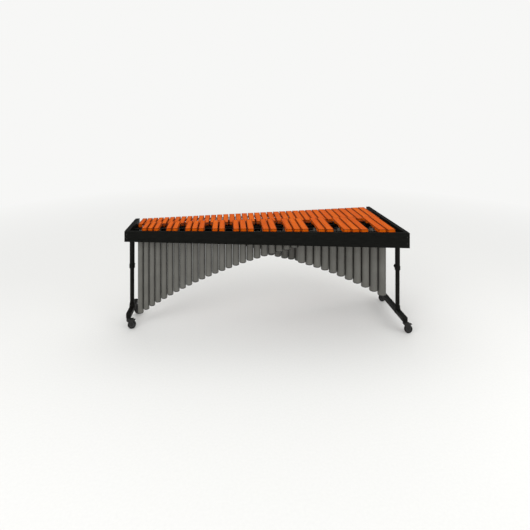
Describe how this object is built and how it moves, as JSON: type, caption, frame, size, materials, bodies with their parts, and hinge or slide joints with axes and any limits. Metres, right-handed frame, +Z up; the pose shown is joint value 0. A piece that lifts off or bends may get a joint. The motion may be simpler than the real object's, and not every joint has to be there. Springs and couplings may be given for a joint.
{
  "type": "marimba",
  "caption": "Concert marimba: graduated wooden bars in two rows over arched banks of tube resonators, on a wheeled stand of adjustable height.",
  "frame": {"origin": "on the floor, under the centre of the whole outline, casters included", "axes": "+X along the keyboard to the bass end, +Y from the audience side to the player side, +Z up"},
  "size_m": [2.6546, 1.04, 0.959],
  "materials": {
    "bar_wood": "satin lacquer over red-orange hardwood, grain along the bar",
    "black_lacquer": "satin black lacquer",
    "resonator_paint": "satin warm grey paint",
    "aluminium": "mill finish",
    "cord": "black braid, matte",
    "black_powder_coat": "fine black powder coat",
    "black_plastic": "matte",
    "dark_steel": "dark grey zinc-nickel plate",
    "black_oxide": "oiled black oxide",
    "tread_rubber": "matte",
    "steel": "bright zinc plate"
  },
  "bodies": {
    "frame": {"front_board": "black_lacquer", "high_end_board": "black_lacquer", "low_end_board": "black_lacquer", "accidental_outer_rail": "black_lacquer", "accidental_inner_rail": "black_lacquer", "natural_inner_rail": "black_lacquer", "natural_outer_rail": "black_lacquer", "rail_ties": "aluminium", "frame_bolts": "black_oxide", "natural_bars_octave_2": "bar_wood", "natural_bars_octave_3": "bar_wood", "natural_bars_octave_4": "bar_wood", "natural_bars_octave_5": "bar_wood", "natural_bars_octave_6_and_top_c": "bar_wood", "accidental_bars_octave_2": "bar_wood", "accidental_bars_octave_3": "bar_wood", "accidental_bars_octave_4": "bar_wood", "accidental_bars_octave_5": "bar_wood", "accidental_bars_octave_6": "bar_wood", "natural_cord": "cord", "accidental_cord": "cord", "cord_springs": "steel", "natural_cord_posts": "dark_steel", "accidental_cord_posts": "dark_steel", "cord_post_sleeves": "black_plastic", "accidental_low_tubes": "resonator_paint", "accidental_high_tubes": "resonator_paint", "natural_low_tubes": "resonator_paint", "natural_high_tubes": "resonator_paint", "accidental_tube_caps": "black_plastic", "natural_tube_caps": "black_plastic", "accidental_stoppers": "black_plastic", "natural_stoppers": "black_plastic", "accidental_bank_strips": "aluminium", "natural_bank_strips": "aluminium", "bank_rivets": "aluminium", "bank_hangers": "aluminium", "low_leg_sleeve": "black_powder_coat", "high_leg_sleeve": "black_powder_coat", "leg_bolts": "black_oxide"},
    "low_leg": {"low_leg_post": "black_powder_coat", "low_foot_beam": "black_powder_coat"},
    "low_clamp": {"low_clamp_knob": "black_plastic"},
    "low_front_fork": {"low_front_caster_fork": "dark_steel"},
    "low_front_wheel": {"low_front_caster_wheel": "tread_rubber"},
    "low_front_brake": {"low_front_caster_brake": "dark_steel"},
    "low_rear_fork": {"low_rear_caster_fork": "dark_steel"},
    "low_rear_wheel": {"low_rear_caster_wheel": "tread_rubber"},
    "low_rear_brake": {"low_rear_caster_brake": "dark_steel"},
    "high_leg": {"high_leg_post": "black_powder_coat", "high_foot_beam": "black_powder_coat"},
    "high_clamp": {"high_clamp_knob": "black_plastic"},
    "high_front_fork": {"high_front_caster_fork": "dark_steel"},
    "high_front_wheel": {"high_front_caster_wheel": "tread_rubber"},
    "high_front_brake": {"high_front_caster_brake": "dark_steel"},
    "high_rear_fork": {"high_rear_caster_fork": "dark_steel"},
    "high_rear_wheel": {"high_rear_caster_wheel": "tread_rubber"},
    "high_rear_brake": {"high_rear_caster_brake": "dark_steel"}
  },
  "joints": [
    {"name": "low_leg_slide", "type": "slide", "parent": "frame", "child": "low_leg", "axis": [0, 0, -1], "range_m": [-0.035, 0.115]},
    {"name": "low_clamp_turn", "type": "hinge", "parent": "frame", "child": "low_clamp", "pos_m": [1.25975, -0.3, 0.538], "axis": [0, 1, 0], "range_deg": [0, 180]},
    {"name": "low_front_swivel", "type": "hinge", "parent": "low_leg", "child": "low_front_fork", "pos_m": [1.25975, -0.465, 0.1], "axis": [0, 0, 1], "continuous": true},
    {"name": "low_front_roll", "type": "hinge", "parent": "low_front_fork", "child": "low_front_wheel", "pos_m": [1.28975, -0.465, 0.0375], "axis": [0, 1, 0], "continuous": true},
    {"name": "low_front_brake", "type": "hinge", "parent": "low_front_fork", "child": "low_front_brake", "pos_m": [1.29775, -0.465, 0.0795], "axis": [0, 1, 0], "range_deg": [0, 11]},
    {"name": "low_rear_swivel", "type": "hinge", "parent": "low_leg", "child": "low_rear_fork", "pos_m": [1.25975, 0.158, 0.1], "axis": [0, 0, 1], "continuous": true},
    {"name": "low_rear_roll", "type": "hinge", "parent": "low_rear_fork", "child": "low_rear_wheel", "pos_m": [1.28975, 0.158, 0.0375], "axis": [0, 1, 0], "continuous": true},
    {"name": "low_rear_brake", "type": "hinge", "parent": "low_rear_fork", "child": "low_rear_brake", "pos_m": [1.29775, 0.158, 0.0795], "axis": [0, 1, 0], "range_deg": [0, 11]},
    {"name": "high_leg_slide", "type": "slide", "parent": "frame", "child": "high_leg", "axis": [0, 0, -1], "range_m": [-0.035, 0.115]},
    {"name": "high_clamp_turn", "type": "hinge", "parent": "frame", "child": "high_clamp", "pos_m": [-1.30025, -0.01, 0.538], "axis": [0, 1, 0], "range_deg": [0, 180]},
    {"name": "high_front_swivel", "type": "hinge", "parent": "high_leg", "child": "high_front_fork", "pos_m": [-1.30025, -0.15, 0.1], "axis": [0, 0, 1], "continuous": true},
    {"name": "high_front_roll", "type": "hinge", "parent": "high_front_fork", "child": "high_front_wheel", "pos_m": [-1.27025, -0.15, 0.0375], "axis": [0, 1, 0], "continuous": true},
    {"name": "high_front_brake", "type": "hinge", "parent": "high_front_fork", "child": "high_front_brake", "pos_m": [-1.26225, -0.15, 0.0795], "axis": [0, 1, 0], "range_deg": [0, 11]},
    {"name": "high_rear_swivel", "type": "hinge", "parent": "high_leg", "child": "high_rear_fork", "pos_m": [-1.30025, 0.128, 0.1], "axis": [0, 0, 1], "continuous": true},
    {"name": "high_rear_roll", "type": "hinge", "parent": "high_rear_fork", "child": "high_rear_wheel", "pos_m": [-1.27025, 0.128, 0.0375], "axis": [0, 1, 0], "continuous": true},
    {"name": "high_rear_brake", "type": "hinge", "parent": "high_rear_fork", "child": "high_rear_brake", "pos_m": [-1.26225, 0.128, 0.0795], "axis": [0, 1, 0], "range_deg": [0, 11]}
  ]
}
